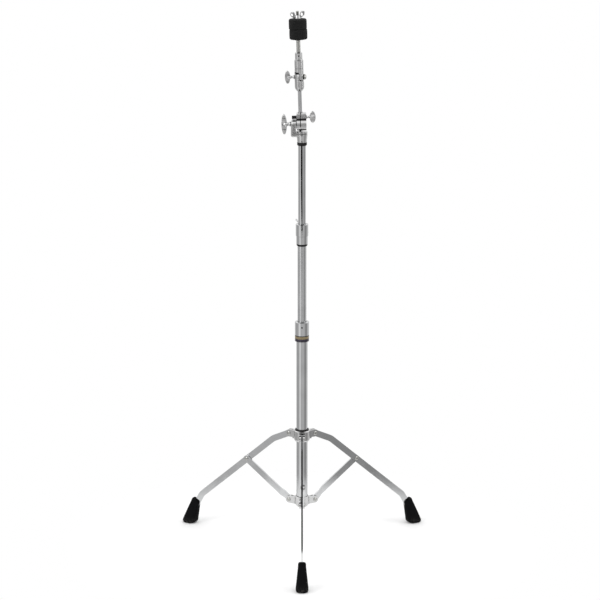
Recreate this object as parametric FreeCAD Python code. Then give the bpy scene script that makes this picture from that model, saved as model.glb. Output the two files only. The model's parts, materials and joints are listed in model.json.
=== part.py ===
import FreeCAD, Part
import math
import os

# Cymbal boom stand.  Millimetres, +Z up, origin on the mast's axis at floor level.
# The front leg points along -Y and the other two stand at 30 and 150 degrees.
V = FreeCAD.Vector
X, Y, Z = V(1, 0, 0), V(0, 1, 0), V(0, 0, 1)

# Fits, each a radial or face clearance
RUN = 0.05          # pin in a turning eye, screw in its bore
SLIDE = 0.10        # tube in its bushing
GAP = 0.30          # free air between flat moving faces

# Mast tubes: outer radius and wall
BASE_R, BASE_WALL = 14.3, 1.5
MID_R, MID_WALL = 11.1, 1.2
UP_R, UP_WALL = 9.55, 1.2

# Heights along the mast
HUB_BOTTOM, HUB_TOP = 101.0, 130.0
HUB_PIVOT_Z = 116.0
LINK = 154.4                # pivot to pivot, the same on the braces and the legs
LINK_ANGLE = 34.98          # brace's rise above the horizontal, as set up
BASE_TOP = 560.0
LOW_RING_Z0, LOW_CLAMP_Z0, LOW_CLAMP_Z1 = 539.0, 554.6, 589.0
MID_TOP, MID_HIDDEN = 800.0, 170.0
UP_RING_Z0, UP_CLAMP_Z0 = 782.7, 788.5
UP_CLAMP_STEP, UP_CLAMP_Z1 = 809.0, 839.0
UP_TOP, UP_HIDDEN = 1058.0, 180.0

# Collars on the mast
LOW_CLAMP_R = 17.8
UP_CLAMP_R, UP_CLAMP_NARROW_R = 15.6, 14.3
COLLAR_LIP = 2.0
PEG_R = 2.0
PEG_DROP = 12.5             # peg and screw below a clamp's top

LIP_GAP = 0.4
BOSS_STEP = 4.0
LOW_SCREW_Z, UP_SCREW_Z = LOW_CLAMP_Z1 - PEG_DROP, UP_CLAMP_Z1 - PEG_DROP
UP_SLEEVE_R = 12.5          # upper bushing's outside
SPIGOT = 28.0
UP_RING_R = 13.65

# Leg spider
SPIDER_PIVOT_R = 35.0       # pivot radius, the same at the crown and the hub
CROWN_R, HUB_R = 20.0, 18.3
EAR_R = 9.0
EAR_W = 14.0
BAR_H, BAR_T = 16.0, 4.0
PIVOT_PIN_R = 3.0
LEG_ANGLES = (30.0, 150.0, 270.0)
KNEE = (84.0, 270.0)        # leg centreline: radius, height
ANKLE = (302.0, 83.4)
TOE = (334.0, 27.0)
BOOT_TOP = (318.5, 66.5)
BOOT_LEAN = 64.0            # boot's upper face leans out by 90 minus this
BOOT_TOP_SIZE = (22.0, 18.0)
FOOT_R = 341.0
BOOT_SOLE_SIZE = (40.0, 33.0)

BOOT_EDGE_R = 7.0
BOOT_RIBS, BOOT_RIB_Z0, BOOT_RIB_STEP = 6, 17.0, 6.5
LEG_BEND_R = 40.0
JOGGLE = (50.0, 60.0)       # radii between which the brace steps sideways
CROWN_SLEEVE_R, CROWN_RIM_R = 16.0, 17.3
HUB_PIN_R, HUB_PIN_Z, HUB_PIN_TURN = 2.0, 109.5, 0.0
SCREW_BOSS_R, SCREW_R = 6.5, 3.0    # wing screws through the collars' backs

# Boom tilter
TILT_Z = 1090.0
BOOM_LEAN = 1.6             # clamp and boom stand this far out of plumb, to the left
ROD_X, ROD_Y = -3.7, 19.0   # boom rod's axis beside and behind the tilt screw
ROD_R = 4.75
ROD_TAIL, ROD_HEAD = 1040.0, 1181.0
CLAMP_TOP = 1115.5
BARREL_R = 16.0
BLOCK_X0, BLOCK_X1 = -13.0, 10.8
CHEEK_X0, CHEEK_X1 = -27.5, -15.0
CHEEK_R, CHEEK_EASE = 10.5, 5.0
SQUEEZE_Y, SQUEEZE_Z = 5.0, 1105.5

CLAMP_BOTTOM = 1081.0
LUG_FRONT = -7.0
SLIT, SLIT_BOTTOM = 1.8, 1083.0
LINER_R = 6.0
TILT_SCREW_R, TILT_SCREW_END = 4.0, -6.0
SQUEEZE_NUT_X0 = -24.5
NECK_R, NECK_Z0, NECK_TOP, NECK_GROOVE_Z = 13.4, 1044.3, 1071.5, 1065.0
TILTER_RING_R, TILTER_RING_Z0 = 12.1, 1036.0
CHEEK_FOOT_Z = 1057.5
TILT_DISC_R = 11.5

# Cymbal tilter and post
HEAD_Z = 1203.0
HEAD_R, HEAD_LOW_R = 11.0, 11.6
HEAD_LOW_Z0 = 1169.0
SLEEVE_Z1, HOLDER_Z1 = 1244.6, 1264.2
HOLDER_R = 9.0
LAP = 12.2                  # half-lap faces stand this far from the screw
POST_R, STUD_R = 5.0, 3.9
FELT_Z0, FELT_H, FELT_R = 1295.5, 25.0, 22.4
FELT_PLAY, FELT_SHIFT, FELT_HOLE_R = 0.3, 0.8, 6.4
STUD_TOP = 1365.0
LAP_FACE = 0.5
HOLDER_SPIGOT_R = 7.0
POST_Z0 = 1250.0
SET_SCREW_R, SET_SCREW_Z = 1.9, 1255.5
SLEEVE_FLANGE = 1.5
THREAD_Z0, THREAD_PITCH, THREAD_DEPTH = 1341.0, 1.25, 0.6
WING_NUT_TURN = 32.0
NUT_LEAF_T, NUT_LEAF_EASE = 4.4, 1.4

# Wing screws: shank radius, stem radius and length, leaf span, depth and thickness
COLLAR_WING = (SCREW_R, 4.5, 6.0, 47.0, 13.0, 5.0)
TILT_WING = (TILT_SCREW_R, 6.2, 8.8, 51.0, 13.6, 6.0)
SQUEEZE_WING = (SCREW_R, 4.2, 8.0, 29.0, 14.8, 5.0)
HEAD_WING = (SCREW_R, 4.6, 10.0, 34.0, 13.2, 5.0)
UP_WING_TURN, HEAD_WING_TURN = -42.0, 12.0      # how each leaf stands about its screw

os.makedirs("parts", exist_ok=True)


# ---------- small helpers ----------

def rod(radius, start, end):
    """Cylinder between two points."""
    path = end.sub(start)
    return Part.makeCylinder(radius, path.Length, start, path)


def upright(radius, z0, z1, x=0.0, y=0.0):
    return rod(radius, V(x, y, z0), V(x, y, z1))


def pipe(outer, inner, z0, z1):
    return upright(outer, z0, z1).cut(upright(inner, z0 - 1, z1 + 1))


def box(x0, x1, y0, y1, z0, z1):
    return Part.makeBox(x1 - x0, y1 - y0, z1 - z0, V(x0, y0, z0))


def turned(points):
    """Solid of revolution about Z from (radius, height) points."""
    corners = [V(r, 0, z) for r, z in points]
    face = Part.Face(Part.makePolygon(corners + corners[:1]))
    return face.revolve(V(0, 0, 0), Z, 360)


def fuse(*shapes):
    return shapes[0].multiFuse(list(shapes[1:])).removeSplitter()


def about(shape, angle, axis=Z, centre=V(0, 0, 0)):
    turned_shape = shape.copy()
    turned_shape.rotate(centre, axis, angle)
    return turned_shape


def moved(shape, offset):
    placed = shape.copy()
    placed.translate(offset)
    return placed


def solids(shape):
    return shape.Solids


def save(shape, name):
    parts = solids(shape)
    result = parts[0] if len(parts) == 1 else Part.makeCompound(parts)
    result.exportStep("parts/" + name + ".step")


def arc(first, middle, last):
    return Part.Arc(first, middle, last).toShape()


def line(start, end):
    return Part.LineSegment(start, end).toShape()


def bend_points(before, corner, after, bend, shift):
    """Start, middle and end of a bend's arc, for a line moved sideways by shift."""
    inward = before.sub(corner).normalize()
    outward = after.sub(corner).normalize()
    half_turn = (math.pi - inward.getAngle(outward)) / 2
    bisector = inward.add(outward).normalize()
    centre = corner.add(bisector * (bend / math.cos(half_turn)))
    reach = bend * math.tan(half_turn)
    side = 1 if Y.dot(inward.cross(outward)) > 0 else -1
    radius = bend + side * shift
    spots = (corner + inward * reach, corner + (corner - centre), corner + outward * reach)
    return [centre + (spot - centre).normalize() * radius for spot in spots]


def band(points, width, bend, thickness):
    """Flat bar on edge: a round-ended strip along points in the XZ plane."""
    path = [V(x, 0, z) for x, z in points]
    first_side = Y.cross(path[1] - path[0]).normalize()
    last_side = Y.cross(path[-1] - path[-2]).normalize()
    first_run = (path[0] - path[1]).normalize()
    last_run = (path[-1] - path[-2]).normalize()
    half = width / 2
    edges = []
    for side in (1, -1):
        here = path[0] + first_side * (side * half)
        for before, corner, after in zip(path, path[1:], path[2:]):
            spots = bend_points(before, corner, after, bend, side * half)
            edges.append(line(here, spots[0]))
            edges.append(arc(*spots))
            here = spots[2]
        edges.append(line(here, path[-1] + last_side * (side * half)))
    for end, side, run in ((path[0], first_side, first_run), (path[-1], last_side, last_run)):
        edges.append(arc(end + side * half, end + run * half, end - side * half))
    outline = Part.Wire(Part.__sortEdges__(edges))
    strip = Part.Face(outline).extrude(V(0, thickness, 0))
    return moved(strip, V(0, -thickness / 2, 0))


def wing_screw(sizes, shank):
    """Wing screw along +X: shank from 0, then stem, then an oval two-leaf wing."""
    shank_r, stem_r, stem, span, width, thick = sizes
    start = stem + shank
    body = rod(shank_r, V(0, 0, 0), V(shank + 0.5, 0, 0))
    neck = rod(stem_r, V(shank, 0, 0), V(start + width * 0.45, 0, 0))
    oval = Part.Wire([Part.Ellipse(V(0, 0, 0), span / 2, width / 2).toShape()])
    face = about(Part.Face(oval), 90, X)
    face = moved(about(face, 90, Y), V(start + width / 2, 0, 0))
    leaf = moved(face.extrude(V(0, thick, 0)), V(0, -thick / 2, 0))
    flat = [e for e in leaf.Edges if e.BoundBox.YLength < 0.01]
    leaf = leaf.makeFillet(thick * 0.3, flat)
    hub = Part.makeCone(stem_r, stem_r * 0.7, width * 0.75, V(start, 0, 0), X)
    return fuse(body, neck, leaf, hub)


def hexagon(across, z0, z1, bore):
    """Upright hexagonal nut with a bore."""
    corner = across / math.sqrt(3)
    ring = [V(corner * math.cos(k * math.pi / 3), corner * math.sin(k * math.pi / 3), z0)
            for k in range(6)]
    face = Part.Face(Part.makePolygon(ring + ring[:1]))
    return face.extrude(V(0, 0, z1 - z0)).cut(upright(bore, z0 - 1, z1 + 1))


def rivet(radius, half_grip, head_r, head_h, centre):
    """Pin along Y with a low domed head at each end."""
    profile = [(0, -half_grip - head_h), (head_r * 0.6, -half_grip - head_h),
               (head_r, -half_grip - head_h * 0.4), (head_r, -half_grip), (radius, -half_grip),
               (radius, half_grip), (head_r, half_grip), (head_r, half_grip + head_h * 0.4),
               (head_r * 0.6, half_grip + head_h), (0, half_grip + head_h)]
    pin = turned(profile)
    pin.rotate(V(0, 0, 0), X, 90)
    return moved(pin, centre)


# ---------- leg spider ----------

LINK_RISE = LINK * math.sin(math.radians(LINK_ANGLE))
LINK_REACH = LINK * math.cos(math.radians(LINK_ANGLE))
JOINT = (SPIDER_PIVOT_R + LINK_REACH, HUB_PIVOT_Z + LINK_RISE)
CROWN_PIVOT_Z = HUB_PIVOT_Z + 2 * LINK_RISE
CROWN_BOTTOM, CROWN_TOP = CROWN_PIVOT_Z - 16.0, CROWN_PIVOT_Z + 12.0
SLOT_W = BAR_T + 2 * GAP
BRACE_SHIFT = BAR_T + GAP
RIVET_HEAD_R, RIVET_HEAD_H = 5.0, 1.8
BAR_EYE_R = BAR_H / 2
TUBE_BORE_R = BASE_R + SLIDE


def ear(pivot_z, root_r, drop):
    """One clevis ear pair on +X, its slot still to be cut."""
    tip = rod(EAR_R, V(SPIDER_PIVOT_R, -EAR_W / 2, pivot_z), V(SPIDER_PIVOT_R, EAR_W / 2, pivot_z))
    half = EAR_W / 2
    web = box(root_r - 5, SPIDER_PIVOT_R, -half, half, pivot_z - EAR_R, pivot_z + EAR_R)
    skirt = box(root_r - 5, root_r + 4, -half, half, pivot_z - EAR_R - drop, pivot_z)
    return fuse(tip, web, skirt)


def ear_slot(pivot_z):
    """Room for the bar's end to swing, with the pivot hole through it."""
    half = SLOT_W / 2
    swing = BAR_EYE_R + 1.5
    slot = box(SPIDER_PIVOT_R - swing, SPIDER_PIVOT_R + 20, -half, half,
               pivot_z - 40, pivot_z + 40)
    hole = rod(PIVOT_PIN_R + RUN, V(SPIDER_PIVOT_R, -20, pivot_z), V(SPIDER_PIVOT_R, 20, pivot_z))
    return fuse(slot, hole)


def spider(body, pivot_z, root_r, drop):
    """Three clevises round a cast body."""
    ears = [about(ear(pivot_z, root_r, drop), a) for a in LEG_ANGLES]
    slots = [about(ear_slot(pivot_z), a) for a in LEG_ANGLES]
    casting = fuse(body, *ears)
    for slot in slots:
        casting = casting.cut(slot)
    return casting


def spider_rivets(pivot_z):
    pin = rivet(PIVOT_PIN_R, EAR_W / 2 + RUN, RIVET_HEAD_R, RIVET_HEAD_H,
                V(SPIDER_PIVOT_R, 0, pivot_z))
    return Part.makeCompound([about(pin, a) for a in LEG_ANGLES])


def leg_crown():
    """Sliding casting that carries the leg tops."""
    body = turned([(0, CROWN_BOTTOM), (CROWN_R - 2, CROWN_BOTTOM), (CROWN_R, CROWN_BOTTOM + 4),
                   (CROWN_R, CROWN_TOP - 2), (CROWN_R - 2, CROWN_TOP), (0, CROWN_TOP)])
    boss = rod(SCREW_BOSS_R, V(0, BASE_R, CROWN_PIVOT_Z), V(0, CROWN_R + 5, CROWN_PIVOT_Z))
    casting = spider(fuse(body, boss), CROWN_PIVOT_Z, CROWN_R, 3.0)
    casting = casting.cut(upright(CROWN_SLEEVE_R + SLIDE, CROWN_BOTTOM - 1, CROWN_TOP + 1))
    return casting.cut(screw_bore(CROWN_PIVOT_Z, CROWN_R + 10))


def crown_bushing():
    """Nylon sleeve between the crown and the tube, its rim showing on top."""
    sleeve = pipe(CROWN_SLEEVE_R, TUBE_BORE_R, CROWN_BOTTOM + 1, CROWN_TOP)
    rim = pipe(CROWN_RIM_R, TUBE_BORE_R, CROWN_TOP, CROWN_TOP + 3.0)
    return fuse(sleeve, rim)


def lower_hub():
    """Casting closed under the base tube's foot, with the brace clevises."""
    body = turned([(0, HUB_BOTTOM), (HUB_R - 7, HUB_BOTTOM), (HUB_R - 2, HUB_BOTTOM + 5),
                   (HUB_R, HUB_BOTTOM + 9), (HUB_R, HUB_TOP - 1.5), (HUB_R - 1.5, HUB_TOP),
                   (0, HUB_TOP)])
    casting = spider(body, HUB_PIVOT_Z, HUB_R, 0.0)
    casting = casting.cut(upright(BASE_R + RUN, HUB_BOTTOM + 4, HUB_TOP + 1))
    pin_way = rod(HUB_PIN_R + RUN, V(-40, 0, HUB_PIN_Z), V(40, 0, HUB_PIN_Z))
    return casting.cut(about(pin_way, HUB_PIN_TURN))


def hub_pin():
    """Cross pin that holds the hub on the tube."""
    pin = rod(HUB_PIN_R, V(-HUB_R - 0.4, 0, HUB_PIN_Z), V(HUB_R + 0.4, 0, HUB_PIN_Z))
    return about(pin, HUB_PIN_TURN)


def base_tube():
    tube = pipe(BASE_R, BASE_R - BASE_WALL, HUB_BOTTOM + 4, BASE_TOP)
    pin_way = rod(HUB_PIN_R + RUN, V(-40, 0, HUB_PIN_Z), V(40, 0, HUB_PIN_Z))
    return tube.cut(about(pin_way, HUB_PIN_TURN))


def leg_bar():
    """Flat steel leg on edge, bent at the knee and the ankle, in the XZ plane."""
    start = (SPIDER_PIVOT_R, CROWN_PIVOT_Z)
    bar = band([start, KNEE, ANKLE, TOE], BAR_H, LEG_BEND_R, BAR_T)
    for r, z in (start, JOINT):
        bar = bar.cut(rod(PIVOT_PIN_R + RUN, V(r, -20, z), V(r, 20, z)))
    return bar


def brace():
    """Flat brace: in the hub's clevis at one end, beside the leg at the other."""
    start = V(SPIDER_PIVOT_R, 0, HUB_PIVOT_Z)
    end = V(JOINT[0], 0, JOINT[1])
    run = (end - start).normalize()
    side = Y.cross(run)
    reach = BAR_EYE_R
    corners = [start + side * reach, end + side * reach, end - side * reach, start - side * reach]
    outline = Part.Wire([
        line(corners[0], corners[1]), arc(corners[1], end + run * reach, corners[2]),
        line(corners[2], corners[3]), arc(corners[3], start - run * reach, corners[0])])
    blank = moved(Part.Face(outline).extrude(V(0, 40, 0)), V(0, -20, 0))
    a, b, top = BAR_T / 2, BRACE_SHIFT, 400
    x1, x2 = JOGGLE
    plan = [V(0, -a, 0), V(x1, -a, 0), V(x2, b - a, 0), V(top, b - a, 0),
            V(top, b + a, 0), V(x2, b + a, 0), V(x1, a, 0), V(0, a, 0)]
    strip = Part.Face(Part.makePolygon(plan + plan[:1])).extrude(V(0, 0, top))
    bar = blank.common(strip)
    for spot in (start, end):
        bar = bar.cut(rod(PIVOT_PIN_R + RUN, spot - Y * 20, spot + Y * 20))
    return bar


def brace_rivet():
    """Rivet through the brace and the leg where they cross."""
    half = BAR_T + GAP / 2 + RUN
    centre = V(JOINT[0], BRACE_SHIFT / 2, JOINT[1])
    return rivet(PIVOT_PIN_R, half, RIVET_HEAD_R, RIVET_HEAD_H, centre)


def rounded_plate(length, width, radius, height=0.0):
    """Rounded rectangle wire, level, centred on Z."""
    hl, hw = length / 2, width / 2
    k = radius * (1 - math.sqrt(0.5))
    edges = []
    for sx, sy in ((1, 1), (-1, 1), (-1, -1), (1, -1)):
        cx, cy = sx * hl, sy * hw
        by_x, by_y = V(cx - sx * radius, cy, height), V(cx, cy - sy * radius, height)
        first, last = (by_y, by_x) if sx * sy > 0 else (by_x, by_y)
        edges.append(arc(first, V(cx - sx * k, cy - sy * k, height), last))
    joins = [line(edges[i].lastVertex().Point, edges[(i + 1) % 4].firstVertex().Point)
             for i in range(4)]
    ring = [edge for pair in zip(edges, joins) for edge in pair]
    return Part.Wire(Part.__sortEdges__(ring))


def boot():
    """Rubber boot: a tapering block over the leg's end, standing flat."""
    sole = rounded_plate(BOOT_SOLE_SIZE[0], BOOT_SOLE_SIZE[1], 11.0)
    sole.translate(V(FOOT_R, 0, 0))
    top = rounded_plate(BOOT_TOP_SIZE[0], BOOT_TOP_SIZE[1], 6.0)
    top.rotate(V(0, 0, 0), Y, -(90 - BOOT_LEAN))
    top.translate(V(BOOT_TOP[0], 0, BOOT_TOP[1]))
    block = Part.makeLoft([sole, top], True, True)
    low = [e for e in block.Edges if e.BoundBox.ZMax < 0.01]
    return block.makeFillet(BOOT_EDGE_R, low)


def foot():
    """The boot with grip ribs and the pocket that holds the leg's end."""
    body = boot()
    for k in range(BOOT_RIBS):
        z = BOOT_RIB_Z0 + k * BOOT_RIB_STEP
        body = body.cut(boot_rib(z))
    return body.cut(leg_bar())


def boot_rib(z):
    """Shallow groove across the boot's inner face."""
    share = z / BOOT_TOP[1]
    inner = FOOT_R - BOOT_SOLE_SIZE[0] / 2
    inner_top = BOOT_TOP[0] - BOOT_TOP_SIZE[0] / 2 * math.sin(math.radians(BOOT_LEAN))
    x = inner + (inner_top - inner) * share
    return rod(1.3, V(x - 0.3, -BOOT_SOLE_SIZE[1], z), V(x - 0.3, BOOT_SOLE_SIZE[1], z))


# ---------- mast ----------

def screw_bore(z, reach):
    """Way for a collar's wing screw, from the mast's axis out through the back."""
    return rod(SCREW_R + RUN, V(0, 0, z), V(0, reach, z))


def peg_bore(z, reach):
    return rod(PEG_R + RUN, V(0, 0, z), V(0, -reach, z))


def collar(outline, bores, outer, z):
    """Clamp collar: turned outside and bores, a screw boss behind, a peg hole in front."""
    boss = rod(SCREW_BOSS_R, V(0, outer - 4, z), V(0, outer + BOSS_STEP, z))
    body = fuse(turned(outline), boss)
    for radius, z0, z1 in bores:
        body = body.cut(upright(radius, z0, z1))
    return body.cut(screw_bore(z, outer + 20)).cut(peg_bore(z, outer + 20))


def lower_clamp():
    r, z0, z1 = LOW_CLAMP_R, LOW_CLAMP_Z0, LOW_CLAMP_Z1
    outline = [(0, z0), (r, z0), (r, z1 - 1.2), (r - 1.2, z1), (0, z1)]
    bores = [(BASE_R + SLIDE, z0 - 1, z1 - COLLAR_LIP), (MID_R + LIP_GAP, z0, z1 + 1)]
    return collar(outline, bores, r, LOW_SCREW_Z)


def upper_clamp():
    r, n, z0, z1, step = UP_CLAMP_R, UP_CLAMP_NARROW_R, UP_CLAMP_Z0, UP_CLAMP_Z1, UP_CLAMP_STEP
    outline = [(0, z0), (n, z0), (n, step - 0.8), (r, step), (r, z1 - 1.2), (r - 1.2, z1), (0, z1)]
    bores = [(MID_R + SLIDE, z0 - 1, MID_TOP), (UP_SLEEVE_R + SLIDE, MID_TOP, z1 - COLLAR_LIP),
             (UP_R + LIP_GAP, z0, z1 + 1)]
    return collar(outline, bores, r, UP_SCREW_Z)


def lower_bushing():
    """Nylon bushing: a thick ring on the base tube's end, with a spigot down inside it."""
    inner = MID_R + SLIDE
    ring = pipe(BASE_R, inner, BASE_TOP + GAP, LOW_CLAMP_Z1 - COLLAR_LIP - GAP)
    spigot = pipe(BASE_R - BASE_WALL - SLIDE, inner, BASE_TOP - SPIGOT, BASE_TOP + 1)
    return fuse(ring, spigot)


def upper_bushing():
    return pipe(UP_SLEEVE_R, UP_R + SLIDE, MID_TOP + GAP, UP_CLAMP_Z1 - COLLAR_LIP - GAP)


def peg(inner, outer, z):
    """Small black plug in the front of a collar."""
    return rod(PEG_R, V(0, -inner, z), V(0, -outer, z))


def upper_trim_ring():
    """Soft ring under the upper clamp, rounded below."""
    r, inner, z0, z1 = UP_RING_R, MID_R + RUN, UP_RING_Z0, UP_CLAMP_Z0
    return turned([(inner, z0), (r - 2.4, z0), (r - 0.7, z0 + 1.2), (r, z0 + 2.8), (r, z1), (inner, z1)])


def tilter_ring():
    """Soft ring under the boom tilter's neck."""
    r, inner, z0, z1 = TILTER_RING_R, UP_R + RUN, TILTER_RING_Z0, NECK_Z0
    return turned([(inner, z0), (r - 1.5, z0), (r, z0 + 1.5), (r, z1), (inner, z1)])


def collar_screw(tip, outer, z, turn):
    """Wing screw in a collar's back, its leaf turned about its own axis."""
    shank = outer + BOSS_STEP + 0.6 - tip
    screw = wing_screw(COLLAR_WING, shank)
    screw = about(screw, 90)
    screw = about(screw, turn, Y)
    return moved(screw, V(0, tip, z))


# ---------- boom tilter ----------

PIVOT = V(0, 0, TILT_Z)


def lean(shape):
    """Tip a piece to the left about the tilt screw."""
    return about(shape, -BOOM_LEAN, Y, PIVOT)


def tilt_bore(radius):
    return lean(rod(radius, V(-60, 0, TILT_Z), V(TILT_SCREW_END, 0, TILT_Z)))


def tilter_base():
    """Cast neck on the upper tube with one cheek for the tilt screw."""
    z0, top = NECK_Z0, NECK_TOP
    groove = NECK_GROOVE_Z
    neck = turned([(0, z0), (11.9, z0), (12.1, z0 + 5), (NECK_R, z0 + 17), (NECK_R, groove),
                   (NECK_R - 1.4, groove + 0.4), (NECK_R - 1.4, groove + 1.4),
                   (NECK_R, groove + 1.8), (NECK_R, top - 1), (NECK_R - 1, top), (0, top)])
    arm = box(CHEEK_X0, CHEEK_X1, -CHEEK_R, CHEEK_R, CHEEK_FOOT_Z, TILT_Z)
    knuckle = rod(CHEEK_R, V(CHEEK_X0, 0, TILT_Z), V(CHEEK_X1, 0, TILT_Z))
    foot_block = box(CHEEK_X0, 0, -CHEEK_R, CHEEK_R, CHEEK_FOOT_Z, top - 1.5)
    cheek = fuse(arm, knuckle, foot_block)
    outer = [e for e in cheek.Edges if abs(e.BoundBox.XMax - CHEEK_X0) < 0.01]
    low = [e for e in cheek.Edges if e.BoundBox.ZMax < CHEEK_FOOT_Z + 0.01
           and e.BoundBox.YLength < 0.01 and e.BoundBox.XMin < CHEEK_X0 + 0.1]
    cheek = cheek.makeFillet(CHEEK_EASE, outer + low)
    casting = fuse(neck, cheek)
    casting = casting.cut(upright(UP_R + RUN, z0 - 1, UP_TOP))
    return casting.cut(tilt_bore(TILT_SCREW_R + RUN))


def rod_clamp():
    """Split block that turns on the tilt screw and grips the boom rod."""
    x0, x1 = BLOCK_X0, BLOCK_X1
    barrel = rod(BARREL_R, V(x0, 0, TILT_Z), V(x1, 0, TILT_Z))
    lugs = box(x0, x1, LUG_FRONT, ROD_Y, TILT_Z, CLAMP_TOP)
    sleeve = upright(ROD_X - x0, CLAMP_BOTTOM, CLAMP_TOP, ROD_X, ROD_Y)
    bridge = box(x0, ROD_X * 2 - x0, 0, ROD_Y, CLAMP_BOTTOM, CLAMP_TOP)
    block = fuse(barrel, lugs, sleeve, bridge)
    rim = [e for e in block.Edges if e.BoundBox.ZMin > CLAMP_TOP - 0.01]
    block = block.makeFillet(1.6, rim)
    slit = box(ROD_X - SLIT / 2, ROD_X + SLIT / 2, -BARREL_R - 1, ROD_Y, SLIT_BOTTOM, CLAMP_TOP + 1)
    bore = upright(LINER_R + SLIDE, CLAMP_BOTTOM - 5, CLAMP_TOP + 1, ROD_X, ROD_Y)
    squeeze = rod(SCREW_R + RUN, V(-40, SQUEEZE_Y, SQUEEZE_Z), V(40, SQUEEZE_Y, SQUEEZE_Z))
    for tool in (slit, bore, squeeze):
        block = block.cut(tool)
    return lean(block).cut(tilt_bore(TILT_SCREW_R + RUN))


def rod_liner():
    """Thin nylon sleeve round the boom rod, inside its clamp."""
    outer = upright(LINER_R, CLAMP_BOTTOM, CLAMP_TOP - 0.5, ROD_X, ROD_Y)
    return lean(outer.cut(upright(ROD_R + SLIDE, CLAMP_BOTTOM - 1, CLAMP_TOP, ROD_X, ROD_Y)))


def tilt_disc():
    """Friction disc between the cheek and the clamp."""
    disc = rod(TILT_DISC_R, V(BLOCK_X0 - 1.5, 0, TILT_Z), V(BLOCK_X0, 0, TILT_Z))
    hole = rod(TILT_SCREW_R + RUN, V(-40, 0, TILT_Z), V(0, 0, TILT_Z))
    return lean(disc.cut(hole))


def tilt_screw():
    """Large wing screw that locks the boom's tilt."""
    head_x = CHEEK_X0 - 1.0
    shank = TILT_SCREW_END - 0.5 - head_x
    screw = wing_screw(TILT_WING, shank)
    screw = about(screw, 180)
    return lean(moved(screw, V(TILT_SCREW_END - 0.5, 0, TILT_Z)))


def squeeze_screw():
    """Wing screw across the clamp's slit."""
    reach = SQUEEZE_NUT_X0 + 1.5
    shank = BLOCK_X1 + 0.4 - reach
    screw = wing_screw(SQUEEZE_WING, shank)
    return lean(moved(screw, V(reach, SQUEEZE_Y, SQUEEZE_Z)))


def squeeze_nut():
    """Long black nut on the squeeze screw's end."""
    nut = hexagon(7.4, SQUEEZE_NUT_X0, BLOCK_X0 - 0.05, SCREW_R + RUN)
    nut = about(nut, 90, Y)
    return lean(moved(nut, V(0, SQUEEZE_Y, SQUEEZE_Z)))


def boom_rod():
    r, tip = ROD_R, 1.0
    bar = turned([(0, ROD_TAIL), (r, ROD_TAIL), (r, ROD_HEAD - tip), (r - tip, ROD_HEAD), (0, ROD_HEAD)])
    return lean(moved(bar, V(ROD_X, ROD_Y, 0)))


def boom_end_cap():
    """Cap pressed on the boom rod's tail."""
    r, z = ROD_R - 0.15, ROD_TAIL
    cap = turned([(0, z - 4), (r - 1.5, z - 4), (r, z - 2.5), (r, z), (0, z)])
    return lean(moved(cap, V(ROD_X, ROD_Y, 0)))


# ---------- cymbal tilter, drawn on its own axis and then put on the boom ----------

def on_boom(shape):
    return lean(moved(shape, V(ROD_X, ROD_Y, 0)))


def lap(radius, side, down):
    """Half-lap ear round the cymbal tilter's screw, to one side of the lap."""
    z = HEAD_Z
    knuckle = rod(radius, V(-radius, 0, z), V(radius, 0, z))
    far = z - LAP - 1 if down else z + LAP + 1
    web = box(-radius, radius, -radius, radius, min(z, far), max(z, far))
    column = upright(radius, z - LAP - 2, z + LAP + 2)
    half = box(-30, -LAP_FACE, -30, 30, z - 40, z + 40) if side < 0 \
        else box(LAP_FACE, 30, -30, 30, z - 40, z + 40)
    return column.common(fuse(knuckle, web)).common(half)


def lap_bore(radius):
    return rod(radius, V(-30, 0, HEAD_Z), V(30, 0, HEAD_Z))


def cymbal_tilter_base():
    """Lower half of the cymbal tilter, on the boom rod's top."""
    r, z0, top = HEAD_LOW_R, HEAD_LOW_Z0, HEAD_Z - LAP
    body = turned([(0, z0), (r - 4.5, z0), (r - 1.0, z0 + 5), (r, z0 + 9), (r, top), (0, top)])
    body = fuse(body, lap(r, -1, True))
    body = body.cut(upright(ROD_R + RUN, z0 - 1, ROD_HEAD))
    return on_boom(body.cut(lap_bore(SCREW_R + RUN)))


def cymbal_tilter_head():
    """Upper half of the cymbal tilter."""
    r, z0, z1 = HEAD_R, HEAD_Z + LAP, SLEEVE_Z1
    body = turned([(0, z0), (r, z0), (r, z0 + 8.5), (r - 0.7, z0 + 9), (r - 0.7, z0 + 10),
                   (r, z0 + 10.5), (r, z1 - 1), (r - 1, z1), (0, z1)])
    body = fuse(body, lap(r, 1, False))
    body = body.cut(upright(HOLDER_SPIGOT_R + RUN, z1 - 12, z1 + 1))
    return on_boom(body.cut(lap_bore(SCREW_R + RUN)))


def lap_washer():
    washer = rod(9.0, V(-LAP_FACE + 0.1, 0, HEAD_Z), V(LAP_FACE, 0, HEAD_Z))
    return on_boom(washer.cut(lap_bore(SCREW_R + RUN)))


def head_screw():
    """Wing screw of the cymbal tilter."""
    reach = HEAD_R + 4.0
    shank = reach + HEAD_LOW_R + 0.5
    screw = wing_screw(HEAD_WING, shank)
    return on_boom(moved(about(about(screw, 180), HEAD_WING_TURN, X), V(reach, 0, HEAD_Z)))


def head_nut():
    """Domed nut on the far end of the cymbal tilter's screw."""
    r, h = 6.8, 6.4
    nut = turned([(0, 0), (r - 0.6, 0), (r, 0.6), (r, 3.2), (r - 1.2, 5.0), (r - 3.4, h), (0, h)])
    nut = nut.cut(upright(SCREW_R + RUN, -1, 4.6))
    nut = about(nut, 90, Y)
    return on_boom(moved(nut, V(HEAD_R + 0.02, 0, HEAD_Z)))


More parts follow.
